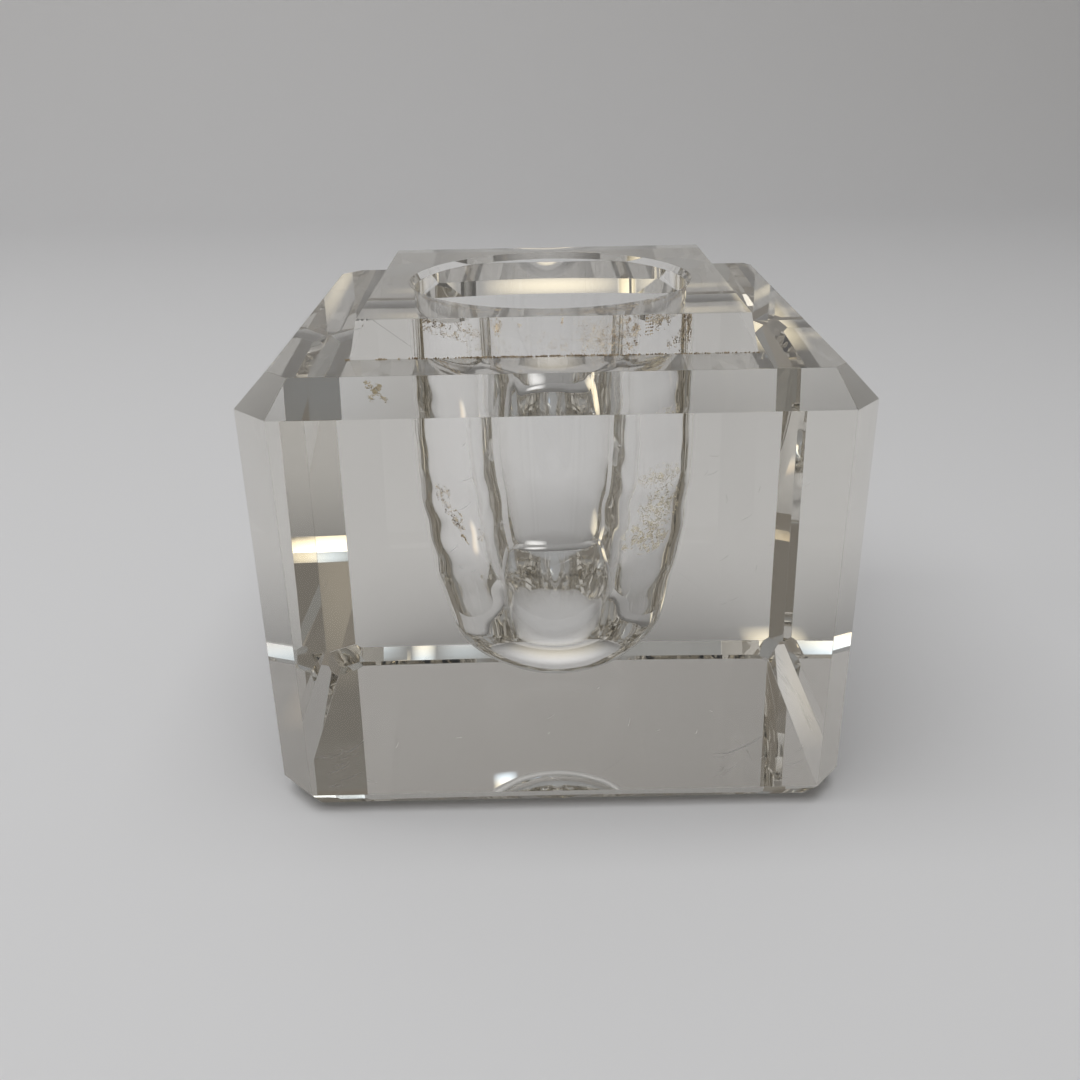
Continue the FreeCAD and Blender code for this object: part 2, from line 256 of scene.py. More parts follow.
def well_stations(profile):
    """For each profile point but the last: (radius, height, depth along it, normal into the glass)."""
    stations = []
    depth = 0.0
    for index, (radius, height) in enumerate(profile[:-1]):
        before = profile[max(index - 1, 0)]
        after = profile[index + 1]
        along = Vector((after[0] - before[0], after[1] - before[1])).normalized()
        depth += math.dist(before, (radius, height))
        stations.append((radius, height, depth, Vector((-along.y, along.x))))
    return stations


def wall_point(waves, station, turn):
    """The rippled wall's point at a station and an angle round the well."""
    radius, height, depth, normal = station
    calm = BORE_RIPPLE + (1 - BORE_RIPPLE) * ease((depth - BORE_CALM) / BORE_CALM)
    calm *= ease(depth / LIP_CALM)
    calm *= ease(radius / FLOOR_CALM)
    calm *= FRONT_RIPPLE + (1 - FRONT_RIPPLE) * math.cos(turn) ** 2
    off = normal * calm * ripple(waves, depth, turn)
    reach = radius + off.x
    return Vector((reach * math.cos(turn), reach * math.sin(turn), height + off.y))


def well_rings(profile):
    """Points of the well's wall, ring by ring, without the pole at the floor's centre."""
    waves = ripple_waves()
    # The first side starts towards the neck's corner at +X -Y, so each quarter faces one edge
    turns = [math.tau * side / WELL_SIDES - math.pi / 4 for side in range(WELL_SIDES)]
    return [
        [wall_point(waves, station, turn) for turn in turns]
        for station in well_stations(profile)
    ]


def bridge(bm, lower, upper):
    """Quads between two loops of as many vertices."""
    count = len(lower)
    for index in range(count):
        after = (index + 1) % count
        bm.faces.new((lower[index], lower[after], upper[after], upper[index]))


def open_top(bm):
    """Take the top face off; its corners anticlockwise from the front end of the right-hand edge."""
    bm.faces.ensure_lookup_table()
    top = max(bm.faces, key=lambda face: face.calc_center_median().z)
    rim = sorted(top.verts, key=lambda vert: math.atan2(vert.co.y, vert.co.x))
    front_right = [vert for vert in rim if vert.co.x > 0 > vert.co.y]
    start = rim.index(max(front_right, key=lambda vert: vert.co.x))
    bmesh.ops.delete(bm, geom=[top], context="FACES_ONLY")
    return rim[start:] + rim[:start]


def glass_mesh():
    """One closed skin: base, bevels, sides, shoulder, neck and the well sunk into it."""
    bm = bmesh.new()
    ground_block(bm)
    rim = open_top(bm)
    foot = [bm.verts.new(point) for point in square(NECK_FOOT, SHOULDER)]
    crown = [bm.verts.new(point) for point in square(NECK_TOP, TOP)]
    # The flat shoulder, one piece along each edge of the top and one at each corner
    for side in range(4):
        after = (side + 1) % 4
        bm.faces.new((rim[2 * side], rim[2 * side + 1], foot[after], foot[side]))
        bm.faces.new((rim[2 * side + 1], rim[(2 * side + 2) % 8], foot[after]))
    bridge(bm, foot, crown)
    profile = well_profile()
    rings = [[bm.verts.new(point) for point in ring] for ring in well_rings(profile)]
    quarter = WELL_SIDES // 4
    for side in range(4):
        arc = [rings[0][(side * quarter + step) % WELL_SIDES] for step in range(quarter + 1)]
        bm.faces.new([crown[side], crown[(side + 1) % 4], *reversed(arc)])
    for upper, lower in zip(rings, rings[1:]):
        bridge(bm, upper, lower)
    pole = bm.verts.new((0.0, 0.0, profile[-1][1]))
    last = rings[-1]
    for side in range(WELL_SIDES):
        bm.faces.new((last[side], last[(side + 1) % WELL_SIDES], pole))
    bmesh.ops.recalc_face_normals(bm, faces=bm.faces[:])
    mesh = bpy.data.meshes.new("cut_glass")
    bm.to_mesh(mesh)
    bm.free()
    return mesh


def make_glass():
    """The glass block with its ground edges softened to a fine arris."""
    mesh = glass_mesh()
    mesh.shade_smooth()
    mesh.set_sharp_from_angle(angle=EDGE_ANGLE)
    block = bpy.data.objects.new("cut_glass_block", mesh)
    bpy.context.scene.collection.objects.link(block)
    arris = block.modifiers.new("arris", "BEVEL")
    arris.width = ARRIS
    arris.segments = 3
    arris.limit_method = "ANGLE"
    arris.angle_limit = EDGE_ANGLE
    arris.harden_normals = True
    block.data.materials.append(glass_material())
    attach(block, "root")
    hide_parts("glass_block")


# ---------------------------------------------------------------- materials

def new_material(name):
    """An empty node material with its Principled shader, as (material, nodes, links, shader)."""
    material = bpy.data.materials.new(name)
    material.use_nodes = True
    tree = material.node_tree
    shader = tree.nodes["Principled BSDF"]
    return material, tree.nodes, tree.links, shader


def math_node(nodes, links, operation, first, second):
    """A math node fed by sockets or plain numbers; returns its output."""
    node = nodes.new("ShaderNodeMath")
    node.operation = operation
    for socket, value in zip(node.inputs, (first, second)):
        if isinstance(value, bpy.types.NodeSocket):
            links.new(value, socket)
        else:
            socket.default_value = value
    return node.outputs[0]


def ramp_node(nodes, links, factor, stops):
    """A colour ramp through (position, colour) stops; returns its colour."""
    node = nodes.new("ShaderNodeValToRGB")
    links.new(factor, node.inputs["Fac"])
    elements = node.color_ramp.elements
    while len(elements) < len(stops):
        elements.new(0.5)
    for element, (position, colour) in zip(elements, stops):
        element.position = position
        element.color = (*colour, 1.0)
    return node.outputs["Color"]


def glass_material():
    """Clear polished glass with the faint warm grey of old lead crystal in its depth."""
    material, nodes, links, shader = new_material("clear_cut_glass")
    shader.inputs["Base Color"].default_value = (1.0, 1.0, 1.0, 1.0)
    shader.inputs["Transmission Weight"].default_value = 1.0
    shader.inputs["Roughness"].default_value = 0.0
    shader.inputs["IOR"].default_value = GLASS_IOR
    depth = nodes.new("ShaderNodeVolumeAbsorption")
    depth.inputs["Color"].default_value = (*GLASS_TINT, 1.0)
    depth.inputs["Density"].default_value = GLASS_DENSITY
    links.new(depth.outputs["Volume"], nodes["Material Output"].inputs["Volume"])
    # Hand polishing leaves every face very slightly wavy
    swell = nodes.new("ShaderNodeTexNoise")
    swell.inputs["Scale"].default_value = SWELL_PER_METRE
    swell.inputs["Detail"].default_value = 1.0
    links.new(nodes.new("ShaderNodeTexCoord").outputs["Object"], swell.inputs["Vector"])
    bump = nodes.new("ShaderNodeBump")
    bump.inputs["Strength"].default_value = 1.0
    bump.inputs["Distance"].default_value = SWELL_HEIGHT
    links.new(swell.outputs["Fac"], bump.inputs["Height"])
    links.new(bump.outputs["Normal"], shader.inputs["Normal"])
    return material


def crust_material(name, dark, light):
    """A dry matte crust, mottled between two colours and grainy."""
    material, nodes, links, shader = new_material(name)
    place = nodes.new("ShaderNodeTexCoord").outputs["Object"]
    mottle = nodes.new("ShaderNodeTexNoise")
    mottle.inputs["Scale"].default_value = 1600.0
    mottle.inputs["Detail"].default_value = 4.0
    links.new(place, mottle.inputs["Vector"])
    colour = ramp_node(nodes, links, mottle.outputs["Fac"], ((0.36, dark), (0.62, light)))
    links.new(colour, shader.inputs["Base Color"])
    grain = nodes.new("ShaderNodeTexNoise")
    grain.inputs["Scale"].default_value = 9000.0
    links.new(place, grain.inputs["Vector"])
    bump = nodes.new("ShaderNodeBump")
    bump.inputs["Strength"].default_value = 0.5
    bump.inputs["Distance"].default_value = 0.03 * MM
    links.new(grain.outputs["Fac"], bump.inputs["Height"])
    links.new(bump.outputs["Normal"], shader.inputs["Normal"])
    shader.inputs["Roughness"].default_value = 0.85
    return material


# ---------------------------------------------------------------- residues and wear

# A flake: how deep it is sunk into the glass, how wide its crown is against its foot, and the
# half width up to which it has fewer sides
SINK = 0.03 * MM
CROWN = 0.7
FINE_FLAKE = 0.08 * MM


def add_flake(bm, rng, centre, out, across, size, lift):
    """One irregular crumb: a domed plate on a glass surface, its underside sunk a little into it."""
    sides = rng.randint(6, 9) if size > FINE_FLAKE else rng.randint(4, 6)
    start = rng.uniform(0, math.tau)
    stretch = rng.uniform(0.45, 1.0)
    along = out.cross(across)
    low, high = [], []
    for side in range(sides):
        angle = start + math.tau * side / sides
        reach = size * rng.uniform(0.55, 1.0)
        point = across * math.cos(angle) * reach + along * math.sin(angle) * reach * stretch
        low.append(bm.verts.new(centre + point - out * SINK))
        high.append(bm.verts.new(centre + point * CROWN + out * lift * rng.uniform(0.4, 0.8)))
    top = bm.verts.new(centre + out * lift)
    bm.faces.new(reversed(low))
    for side in range(sides):
        after = (side + 1) % sides
        bm.faces.new((low[side], low[after], high[after], high[side]))
        bm.faces.new((high[side], high[after], top))


def finish_piece(bm, name, material, node):
    """Turn a bmesh into a named piece that stands for a CAD node."""
    bmesh.ops.recalc_face_normals(bm, faces=bm.faces[:])
    mesh = bpy.data.meshes.new(name)
    bm.to_mesh(mesh)
    bm.free()
    piece = bpy.data.objects.new(name, mesh)
    piece.data.materials.append(material)
    bpy.context.scene.collection.objects.link(piece)
    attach(piece, "root")
    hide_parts(node)
    return piece


def on_wall(stations, waves, degrees, height):
    """The wall's point, its direction into the well and its level tangent, at degrees from the front."""
    station = min(stations, key=lambda candidate: abs(candidate[1] - height))
    turn = math.radians(degrees) - math.pi / 2
    point = wall_point(waves, station, turn)
    point.z = height
    outward = Vector((math.cos(turn), math.sin(turn)))
    normal = station[3]
    into_glass = Vector((outward.x * normal.x, outward.y * normal.x, normal.y))
    return point, -into_glass, Vector((-math.sin(turn), math.cos(turn), 0.0))


# Clots of flakes: the wall's radius in mm, and the coarse and fine waves of noise per mm
WALL_RADIUS = 16.0
COARSE_CLOTS = 1.1
FINE_CLOTS = 3.1


def keep_chance(degrees, level, seed, gather, reach):
    """How likely a spot keeps its flake: likelier in a clot, and less likely near the patch's rim."""
    spot = Vector((math.radians(degrees) * WALL_RADIUS, level, 0.0))
    clot = noise.noise(spot * COARSE_CLOTS + seed) + 0.7 * noise.noise(spot * FINE_CLOTS + seed)
    return 0.5 + clot * 2.2 * gather - 0.35 * reach


def add_wall_patch(bm, rng, stations, waves, patch):
    """Flakes in one soft-edged patch of the well's wall, gathered into clots by noise."""
    turn, height, half_turn, half_height, count, smallest, largest, gather = patch
    seed = Vector((rng.uniform(0, 50), rng.uniform(0, 50), rng.uniform(0, 50)))
    placed = 0
    while placed < count:
        angle = rng.uniform(0, math.tau)
        reach = rng.random() ** 0.65
        degrees = turn + half_turn * reach * math.cos(angle)
        level = height + half_height * reach * math.sin(angle)
        if rng.random() > keep_chance(degrees, level, seed, gather, reach):
            continue
        placed += 1
        point, out, across = on_wall(stations, waves, degrees, level * MM)
        size = smallest + (largest - smallest) * rng.random() ** 3
        add_flake(bm, rng, point, out, across, size * MM, min(0.35 * size, 0.12) * MM)


# Patches of dried ink on the well's wall: degrees from the front, height, half spans of both,
# flakes, smallest and largest half width, and how strongly the flakes gather into clots.
# Heights and half widths are in mm.
MOUTH_PATCHES = (
    (-55.0, 51.3, 14.0, 0.55, 480, 0.020, 0.10, 0.5),
    (-54.0, 50.3, 13.0, 0.45, 260, 0.020, 0.07, 0.5),
    (-36.0, 50.9, 7.5, 1.1, 420, 0.020, 0.09, 0.6),
    (-30.0, 49.2, 6.0, 1.1, 130, 0.020, 0.06, 0.6),
    (-21.6, 51.8, 3.8, 1.0, 300, 0.025, 0.09, 0.4),
    (-21.4, 51.7, 1.6, 0.6, 70, 0.04, 0.12, 0.2),
    (-22.0, 49.8, 9.0, 0.8, 160, 0.020, 0.06, 0.6),
    (-12.7, 52.2, 1.0, 0.30, 36, 0.03, 0.08, 0.1),
    (-3.0, 50.2, 9.0, 1.4, 420, 0.018, 0.05, 0.5),
    (3.3, 52.6, 0.8, 0.35, 30, 0.03, 0.10, 0.0),
    (14.0, 50.6, 12.0, 2.4, 1800, 0.019, 0.058, 0.45),
    (24.0, 50.6, 10.0, 2.4, 2000, 0.019, 0.073, 0.5),
    (32.0, 50.8, 4.0, 2.1, 560, 0.020, 0.10, 0.5),
    (47.0, 51.3, 6.0, 1.1, 560, 0.020, 0.09, 0.6),
    (54.0, 48.6, 4.0, 0.8, 160, 0.020, 0.08, 0.6),
    (69.0, 50.2, 6.5, 2.9, 1500, 0.026, 0.12, 0.4),
    (61.0, 48.4, 4.5, 1.4, 300, 0.020, 0.09, 0.6),
)
# A column of dashes: degrees from the front, lowest and highest in mm, number of dashes, flakes in
# each and the degrees between those
DASH_COLUMN = (39.6, 50.2, 52.3, 7, 4, 1.1)
LEFT_PATCHES = (
    (-53.0, 33.9, 6.5, 1.3, 330, 0.020, 0.075, 0.7),
    (-50.0, 32.3, 4.0, 0.9, 150, 0.020, 0.075, 0.7),
    (-45.0, 31.2, 3.6, 1.2, 330, 0.025, 0.10, 0.5),
    (-42.6, 30.1, 1.6, 0.6, 60, 0.025, 0.09, 0.3),
    (-33.0, 29.6, 2.6, 0.9, 60, 0.025, 0.07, 0.8),
    (-35.6, 23.8, 1.0, 1.3, 44, 0.025, 0.07, 0.8),
)
# A streak: degrees and height in mm where it starts and where it ends, and its flakes
INK_STREAK = (-43.6, 29.1, -39.8, 28.5, 34)
RIGHT_PATCHES = (
    (47.0, 35.8, 13.0, 1.5, 1200, 0.020, 0.060, 0.6),
    (49.0, 32.0, 14.0, 2.6, 2300, 0.020, 0.070, 0.6),
    (42.0, 28.7, 15.0, 2.2, 2900, 0.022, 0.080, 0.55),
)


def add_dash_column(bm, rng, stations, waves):
    """Short level dashes of ink, one above the other."""
    degrees, lowest, highest, dashes, flakes, apart = DASH_COLUMN
    for dash in range(dashes):
        level = lowest + (highest - lowest) * dash / (dashes - 1)
        for step in range(flakes):
            place = degrees + (step - (flakes - 1) / 2) * apart + rng.uniform(-0.3, 0.3)
            height = level + rng.uniform(-0.05, 0.05)
            point, out, across = on_wall(stations, waves, place, height * MM)
            add_flake(bm, rng, point, out, across, rng.uniform(0.10, 0.19) * MM, 0.06 * MM)


def add_ink_streak(bm, rng, stations, waves):
    """A dark wavy streak of ink, thickest a little before its middle."""
    from_turn, from_height, to_turn, to_height, flakes = INK_STREAK
    for step in range(flakes):
        share = step / (flakes - 1)
        place = from_turn + (to_turn - from_turn) * share + rng.uniform(-0.4, 0.4)
        level = from_height + (to_height - from_height) * share + 0.25 * math.sin(share * 5)
        level += rng.uniform(-0.1, 0.1)
        point, out, across = on_wall(stations, waves, place, level * MM)
        size = (0.20 - 0.24 * abs(share - 0.42)) * rng.uniform(0.6, 1.1)
        add_flake(bm, rng, point, out, across, max(size, 0.05) * MM, 0.05 * MM)


def make_wall_ink():
    """Dried ink below the lip and on both sides of the tapering wall; returns its pieces."""
    stations = well_stations(well_profile())
    waves = ripple_waves()
    rng = random.Random(21)
    bm = bmesh.new()
    for patch in MOUTH_PATCHES:
        add_wall_patch(bm, rng, stations, waves, patch)
    add_dash_column(bm, rng, stations, waves)
    material = crust_material("mouth_ink", (0.14, 0.10, 0.065), (0.46, 0.39, 0.29))
    mouth = finish_piece(bm, "mouth_ink_flakes", material, "mouth_ink")
    bm = bmesh.new()
    for patch in LEFT_PATCHES:
        add_wall_patch(bm, rng, stations, waves, patch)
    add_ink_streak(bm, rng, stations, waves)
    material = crust_material("left_ink", (0.09, 0.065, 0.04), (0.52, 0.43, 0.30))
    left = finish_piece(bm, "left_ink_specks", material, "left_wall_ink")
    bm = bmesh.new()
    for patch in RIGHT_PATCHES:
        add_wall_patch(bm, rng, stations, waves, patch)
    material = crust_material("right_ink", (0.38, 0.33, 0.24), (0.66, 0.61, 0.49))
    right = finish_piece(bm, "right_ink_film", material, "right_wall_ink")
    return mouth, left, right


# Cement along the front foot of the neck: the X where a run starts and ends in mm, and its crumbs
CEMENT_RUNS = (
    (-21.4, -21.0, 8),
    (-18.3, -17.0, 22),
    (-16.0, -10.5, 22),
    (-10.2, 6.7, 300),
    (6.7, 12.5, 40),
    (12.5, 21.0, 60),
)
SIDE_CRUMBS = 26
# A splash of cement on the front bevel: X and Y in mm of its middle and of its arms' ends, and the
# crumbs of each arm. The last arm has no length, and thickens the middle.
SPLASH = (-17.54, -28.16)
SPLASH_ARMS = ((-18.75, -27.32), (-17.08, -27.64), (-16.25, -28.99), (-18.0, -28.82), SPLASH)
ARM_CRUMBS = 36


def make_neck_cement(rng):
    """Crumbs of the cement that held the lid's collar, round the neck's foot."""
    bm = bmesh.new()
    across, up = Vector((1.0, 0.0, 0.0)), Vector((0.0, 0.0, 1.0))
    for start, end, count in CEMENT_RUNS:
        for _ in range(count):
            x = rng.uniform(start, end) * MM
            y = -NECK_FOOT - rng.uniform(-0.02, 0.16) * MM
            size = rng.uniform(0.06, 0.17) * MM
            add_flake(bm, rng, Vector((x, y, SHOULDER)), up, across, size, rng.uniform(0.05, 0.20) * MM)
    for side in (-1, 1):
        for _ in range(SIDE_CRUMBS):
            x = side * (NECK_FOOT + rng.uniform(-0.02, 0.2) * MM)
            y = rng.uniform(-20.8, 20.8) * MM
            size = rng.uniform(0.05, 0.15) * MM
            add_flake(bm, rng, Vector((x, y, SHOULDER)), up, across, size, 0.09 * MM)
    material = crust_material("neck_cement", (0.22, 0.16, 0.10), (0.55, 0.45, 0.32))
    finish_piece(bm, "neck_cement_crumbs", material, "neck_cement")


def make_bevel_cement(rng):
    """A small splash of the same cement on the front top bevel."""
    bm = bmesh.new()
    inset, drop = TOP_BEVELS[0][2:]
    out, across = Vector((0.0, -drop, inset)).normalized(), Vector((1.0, 0.0, 0.0))
    centre = Vector((*SPLASH, 0.0))
    for arm in SPLASH_ARMS:
        for _ in range(ARM_CRUMBS):
            share = rng.random() ** 0.7 * 0.9
            x = centre.x + (arm[0] - centre.x) * share + rng.gauss(0, 0.15)
            y = centre.y + (arm[1] - centre.y) * share + rng.gauss(0, 0.12)
            z = SHOULDER / MM - (-DEEP / MM + inset - y) * drop / inset
            size = rng.uniform(0.05, 0.15) * MM
            add_flake(bm, rng, Vector((x, y, z)) * MM, out, across, size, 0.05 * MM)
    material = crust_material("bevel_cement", (0.40, 0.34, 0.23), (0.70, 0.62, 0.47))
    finish_piece(bm, "bevel_cement_crumbs", material, "bevel_cement")


def make_cement():
    """Both pieces of cement."""
    rng = random.Random(5)
    make_neck_cement(rng)
    make_bevel_cement(rng)


# Two scratches that stand out on the front face: width and (X, Z) points, in mm
LONG_SCRATCHES = (
    (0.05, ((16.9, 7.3), (18.2, 7.1), (19.6, 7.6), (20.9, 8.3), (22.1, 9.3))),
    (0.03, ((19.3, 9.0), (20.2, 8.2), (20.9, 7.2), (21.2, 6.3))),
)
# Scratches lie between these depths under the face, in mm, and their ends are finer
SCRATCH_TOP = 0.006
SCRATCH_FLOOR = 0.02
MIDDLE_SHARE = 0.5
END_SHARE = 0.15
# Bruises along the neck's front top edge, in mm: X, spread either way, reach inwards, number and
# largest half width; all of them start this far behind the edge and this far under the top
BRUISE_SETBACK = 0.10
BRUISE_DEPTH = 0.05
BRUISES = (
    (-19.2, 1.0, 0.25, 14, 0.20),
    (-9.0, 0.5, 0.12, 3, 0.08),
    (0.0, 9.0, 0.10, 9, 0.06),
    (9.5, 0.6, 0.15, 4, 0.10),
)


def add_scratch(bm, path, width):
    """A hair-fine groove of ground glass just under the front face, along (X, Z) points in mm."""
    points = [Vector((x, z)) * MM for x, z in path]
    rings = []
    for index, point in enumerate(points):
        before, after = points[max(index - 1, 0)], points[min(index + 1, len(points) - 1)]
        along = (after - before).normalized()
        half_width = width * (END_SHARE if index in (0, len(points) - 1) else MIDDLE_SHARE)
        half = Vector((-along.y, along.x)) * half_width
        ring = []
        for offset, depth in (
            (-half, SCRATCH_TOP),
            (half, SCRATCH_TOP),
            (half, SCRATCH_FLOOR),
            (-half, SCRATCH_FLOOR),
        ):
            place = point + offset
            ring.append(bm.verts.new((place.x, -DEEP + depth * MM, place.y)))
        rings.append(ring)
    for first, second in zip(rings, rings[1:]):
        bridge(bm, first, second)
    bm.faces.new(reversed(rings[0]))
    bm.faces.new(rings[-1])


def scratch_path(x, z, length, angle, bend):
    """A slightly bent path of five points about a middle point."""
    points = []
    for step in range(5):
        share = step / 4 - 0.5
        turn = angle + bend * share
        points.append((x + length * share * math.cos(turn), z + length * share * math.sin(turn)))
    return points


def add_scratches(bm, rng, count, spot, lengths, angles, bend, width):
    """Scratches where spot puts them, of lengths and angles drawn between two limits; all in mm."""
    for _ in range(count):
        place = spot()
        path = scratch_path(*place, rng.uniform(*lengths), rng.uniform(*angles), bend)
        add_scratch(bm, path, width * MM)


def make_scratches():
    """Wear: fine scratches on the front face and bruises along the neck's front edge."""
    rng = random.Random(11)
    bm = bmesh.new()

    def low_left():
        return rng.uniform(-26.3, -22.6), rng.uniform(2.2, 9.0)

    def low_right():
        return rng.uniform(17.0, 27.0), rng.uniform(2.5, 9.0)

    def right_streak():
        share = rng.random()
        return 22.6 + 5.0 * share + rng.gauss(0, 0.3), 19.4 - 8.3 * share + rng.gauss(0, 0.3)

    def anywhere():
        return rng.uniform(-25.0, 25.0), rng.uniform(3.0, 44.0)

    add_scratches(bm, rng, 13, low_left, (0.8, 3.0), (0.1, 0.9), 0.2, 0.035)
    for width, path in LONG_SCRATCHES:
        add_scratch(bm, path, width * MM)
    add_scratches(bm, rng, 9, low_right, (0.5, 1.6), (-0.4, 1.2), 0.3, 0.025)
    add_scratches(bm, rng, 14, right_streak, (0.8, 3.2), (-1.15, -0.95), 0.1, 0.022)
    add_scratches(bm, rng, 46, anywhere, (0.3, 1.4), (-0.5, 1.8), 0.3, 0.02)
    down, across = Vector((0.0, 0.0, -1.0)), Vector((1.0, 0.0, 0.0))
    for x, spread, inward, count, largest in BRUISES:
        for _ in range(count):
            along_edge = x + rng.uniform(-spread, spread)
            offset = Vector((along_edge, BRUISE_SETBACK + rng.random() * inward)) * MM
            centre = Vector((offset.x, offset.y - NECK_TOP, TOP - BRUISE_DEPTH * MM))
            add_flake(bm, rng, centre, down, across, rng.uniform(0.04, largest) * MM, 0.08 * MM)
    material = crust_material("ground_glass", (0.72, 0.72, 0.72), (0.95, 0.95, 0.95))
    finish_piece(bm, "scratches_and_bruises", material, "glass_block")


# ---------------------------------------------------------------- stage, lights and camera

SWEEP_HALF_WIDTH = 0.9
SWEEP_FRONT = -0.6
SWEEP_BACK = 0.42
SWEEP_CURVE = 0.22
SWEEP_CURVE_STEPS = 24
SWEEP_HEIGHT = 0.8
# The floor lies this far below the block's polished base
AIR_GAP = 0.06 * MM


def sweep_material():
    """Matt pale paper."""
    material, _, _, shader = new_material("pale_sweep")
    shader.inputs["Base Color"].default_value = (0.80, 0.80, 0.81, 1.0)
    shader.inputs["Roughness"].default_value = 0.9
    return material


def make_sweep():
    """A pale floor that curves up into a back wall."""
    bm = bmesh.new()
    profile = [(SWEEP_FRONT, 0.0), (SWEEP_BACK, 0.0)]
    for step in range(1, SWEEP_CURVE_STEPS + 1):
        angle = math.pi / 2 * step / SWEEP_CURVE_STEPS
        back = SWEEP_BACK + SWEEP_CURVE * math.sin(angle)
        profile.append((back, SWEEP_CURVE * (1 - math.cos(angle))))
    profile.append((SWEEP_BACK + SWEEP_CURVE, SWEEP_HEIGHT))
    left = [bm.verts.new((-SWEEP_HALF_WIDTH, y, z)) for y, z in profile]
    right = [bm.verts.new((SWEEP_HALF_WIDTH, y, z)) for y, z in profile]
    for index in range(len(profile) - 1):
        bm.faces.new((left[index], right[index], right[index + 1], left[index + 1]))
    mesh = bpy.data.meshes.new("sweep")
    bm.to_mesh(mesh)
    bm.free()
    mesh.shade_smooth()
    mesh.materials.append(sweep_material())
    sweep = bpy.data.objects.new("sweep", mesh)
    sweep.location.z = -AIR_GAP
    bpy.context.scene.collection.objects.link(sweep)
    return sweep


# Soft light of the room by height: 0 is straight down, 0.5 the horizon and 1 straight up
ROOM_BY_HEIGHT = (
    (0.00, (0.40, 0.39, 0.37)),
    (0.48, (0.34, 0.32, 0.29)),
    (0.58, (0.20, 0.18, 0.155)),
    (0.78, (0.19, 0.18, 0.165)),
    (0.90, (0.26, 0.265, 0.27)),
    (1.00, (0.36, 0.37, 0.38)),
)


def make_world():
    """The room's soft light: darker warm walls between a pale floor and a pale ceiling."""
    world = bpy.data.worlds.new("studio")
    world.use_nodes = True
    nodes, links = world.node_tree.nodes, world.node_tree.links
    direction = nodes.new("ShaderNodeTexCoord").outputs["Generated"]
    split = nodes.new("ShaderNodeSeparateXYZ")
    links.new(direction, split.inputs[0])
    # From Z of -1 to 1, to a height of 0 to 1
    height = math_node(nodes, links, "MULTIPLY_ADD", split.outputs["Z"], 0.5)
    height.node.inputs[2].default_value = 0.5
    colour = ramp_node(nodes, links, height, ROOM_BY_HEIGHT)
    links.new(colour, nodes["Background"].inputs["Color"])
    bpy.context.scene.world = world


COOL = (0.72, 0.86, 1.0)
SKY = (0.50, 0.70, 1.0)
WHITE = (1.0, 1.0, 1.0)
WARM = (1.0, 0.88, 0.62)
AMBER = (1.0, 0.74, 0.42)
SAND = (1.0, 0.90, 0.72)
DOWN = (0.0, 0.0, -1.0)
UP = (0.0, 0.0, 1.0)
# Lights that aren't seen in gloss or through glass: place, facing, width and height, radiance
SOFT_KEY = ((-0.12, -0.15, 0.62), DOWN, (0.7, 0.5), 2.06)
BACKDROP_WASH = ((-0.60, 0.05, 0.50), (0.45, 0.80, -0.30), (0.4, 0.4), 1.1)
# The light that the block passes down to the table under it
POOL = ((0.0, 0.3 * MM, -AIR_GAP / 2), DOWN, (1.75 * WIDE, 1.80 * DEEP), 0.40)
# The light that reaches the residues on the well's wall through the glass
THROUGH_GLASS = ((0.0, -0.075, 0.056), (0.0, 1.0, -0.3), (0.10, 0.09), 3.3)
# Lamps and bright gaps of the room: place, facing, width and height, radiance, and the colours of
# the low and the high edge
ROOM_GLINTS = (
    ("lamp_left", (-0.212, -0.145, 0.60), DOWN, (0.235, 0.030), 2.9, COOL, WARM),
    ("lamp_gap", (-0.083, -0.136, 0.60), DOWN, (0.018, 0.034), 1.2, COOL, WARM),
    ("lamp_near", (-0.098, -0.098, 0.60), DOWN, (0.016, 0.080), 1.5, COOL, WARM),
    ("lamp_mid", (-0.055, -0.140, 0.60), DOWN, (0.040, 0.030), 0.5, COOL, WHITE),
    ("sky", (-0.135, -0.215, 0.60), DOWN, (0.09, 0.08), 0.55, SKY, SKY),
    ("lamp_behind", (-0.0225, 0.388, 0.291), (0.04, -0.8, -0.6), (0.014, 0.011), 1.5, COOL, WARM),
    ("lamp_right", (0.240, -0.143, 0.60), DOWN, (0.12, 0.028), 0.9, COOL, WHITE),
    ("lamp_far_right", (0.325, -0.262, 0.60), DOWN, (0.050, 0.07), 0.7, AMBER, WARM),
    ("low_right", (0.521, -0.076, 0.0200), (-1.0, 0.2, 0.0), (0.105, 0.028), 3.4, COOL, WARM),
    ("tan_right", (0.524, -0.066, 0.249), (-1.0, 0.1, -0.4), (0.055, 0.15), 0.19, SAND, SAND),
    ("low_left", (-0.443, -0.309, 0.022), (0.82, 0.57, 0.0), (0.10, 0.048), 1.7, WHITE, WARM),
    ("far_left", (-0.279, 0.491, 0.088), (0.5, -0.86, 0.0), (0.09, 0.040), 0.24, WHITE, WARM),
)
# Light that the block throws on the table under and round it: X, Y, width and depth in mm, radiance,
# near and far colour
CAUSTICS = (
    (-12.0, 31.4, 16.0, 3.4, 0.9, WHITE, WHITE),
    (2.5, 24.0, 56.0, 3.6, 0.75, WARM, WARM),
    (32.0, 27.0, 10.0, 20.0, 1.5, WARM, WARM),
    (-51.0, -26.0, 14.0, 9.0, 0.45, SAND, AMBER),
    (0.0, -12.0, 34.0, 17.0, 0.38, WARM, WHITE),
)


